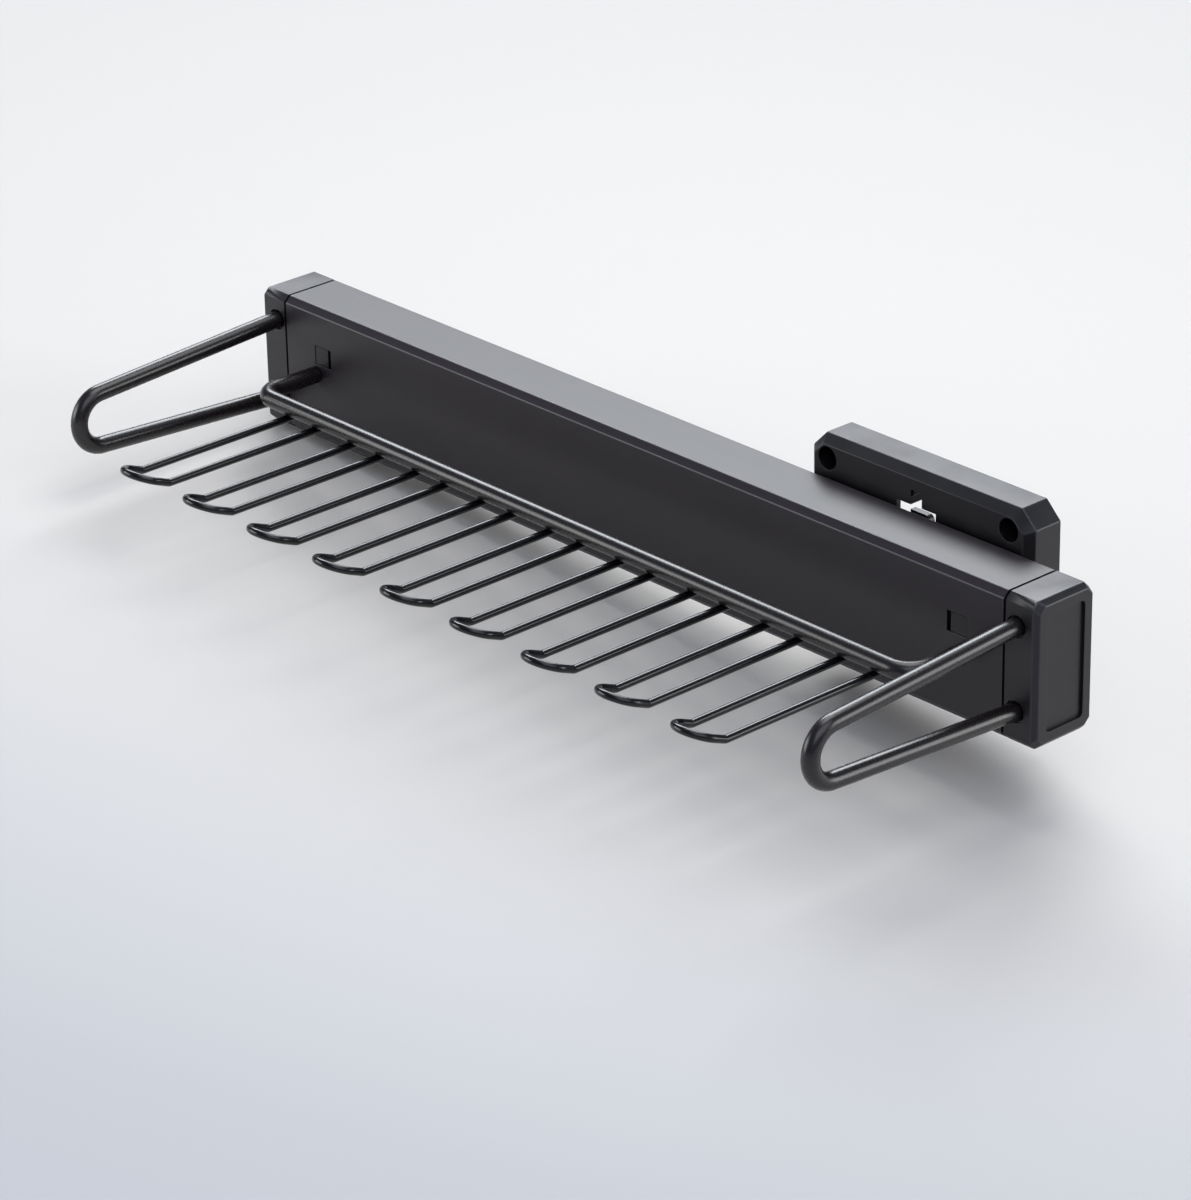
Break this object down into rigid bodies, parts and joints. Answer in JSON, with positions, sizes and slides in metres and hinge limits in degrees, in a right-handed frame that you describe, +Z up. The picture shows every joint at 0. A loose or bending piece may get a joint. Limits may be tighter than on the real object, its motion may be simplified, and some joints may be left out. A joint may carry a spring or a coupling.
{
  "type": "sliding tie rack",
  "caption": "Wall-mounted pull-out tie rack: a dark channel on a roller carriage, with wire hairpin hooks under a bent rod and a rod handle at each end.",
  "frame": {"origin": "middle of the wall plate's back face, where it meets the wall", "axes": "+X along the channel, the way the rack pulls out; +Y into the wall; +Z up"},
  "size_m": [0.497, 0.1894, 0.1004],
  "materials": {
    "anodised_aluminium": "dark anodised, satin",
    "moulded_nylon": "fine grained, satin",
    "coated_rod": "powder coated, satin",
    "coated_wire": "powder coated, satin",
    "cast_aluminium": "die-cast, matt",
    "zinc_plated_steel": "zinc plated",
    "acetal": "smooth, satin",
    "rubber": "matt"
  },
  "bodies": {
    "mount": {"wall_plate": "moulded_nylon", "carriage": "cast_aluminium", "carriage_screw_1": "zinc_plated_steel", "carriage_screw_2": "zinc_plated_steel", "carriage_screw_3": "zinc_plated_steel", "carriage_screw_4": "zinc_plated_steel", "roller_axle_1": "zinc_plated_steel", "roller_axle_2": "zinc_plated_steel", "roller_axle_3": "zinc_plated_steel", "roller_axle_4": "zinc_plated_steel"},
    "rack": {"rail": "anodised_aluminium", "left_end_cap": "moulded_nylon", "right_end_cap": "moulded_nylon", "left_handle": "coated_rod", "right_handle": "coated_rod", "hook_bar": "coated_rod", "left_bar_nut": "zinc_plated_steel", "right_bar_nut": "zinc_plated_steel", "left_stop_buffer": "rubber", "right_stop_buffer": "rubber", "tie_hook_1": "coated_wire", "tie_hook_2": "coated_wire", "tie_hook_3": "coated_wire", "tie_hook_4": "coated_wire", "tie_hook_5": "coated_wire", "tie_hook_6": "coated_wire", "tie_hook_7": "coated_wire", "tie_hook_8": "coated_wire", "tie_hook_9": "coated_wire"},
    "roller_1": {"track_roller_1": "acetal"},
    "roller_2": {"track_roller_2": "acetal"},
    "roller_3": {"track_roller_3": "acetal"},
    "roller_4": {"track_roller_4": "acetal"}
  },
  "joints": [
    {"name": "rack_slide", "type": "slide", "parent": "mount", "child": "rack", "axis": [1, 0, 0], "range_m": [0, 0.2934]},
    {"name": "roller_1_spin", "type": "hinge", "parent": "mount", "child": "roller_1", "pos_m": [-0.05, -0.0325, -0.0212], "axis": [0, 1, 0], "continuous": true},
    {"name": "roller_2_spin", "type": "hinge", "parent": "mount", "child": "roller_2", "pos_m": [-0.05, -0.0325, 0.0212], "axis": [0, 1, 0], "continuous": true},
    {"name": "roller_3_spin", "type": "hinge", "parent": "mount", "child": "roller_3", "pos_m": [0.05, -0.0325, -0.0212], "axis": [0, 1, 0], "continuous": true},
    {"name": "roller_4_spin", "type": "hinge", "parent": "mount", "child": "roller_4", "pos_m": [0.05, -0.0325, 0.0212], "axis": [0, 1, 0], "continuous": true}
  ],
  "couplings": [
    {"joint": "roller_1_spin", "follows": "rack_slide", "rad_per_m": -100},
    {"joint": "roller_2_spin", "follows": "rack_slide", "rad_per_m": 100},
    {"joint": "roller_3_spin", "follows": "rack_slide", "rad_per_m": -100},
    {"joint": "roller_4_spin", "follows": "rack_slide", "rad_per_m": 100}
  ]
}
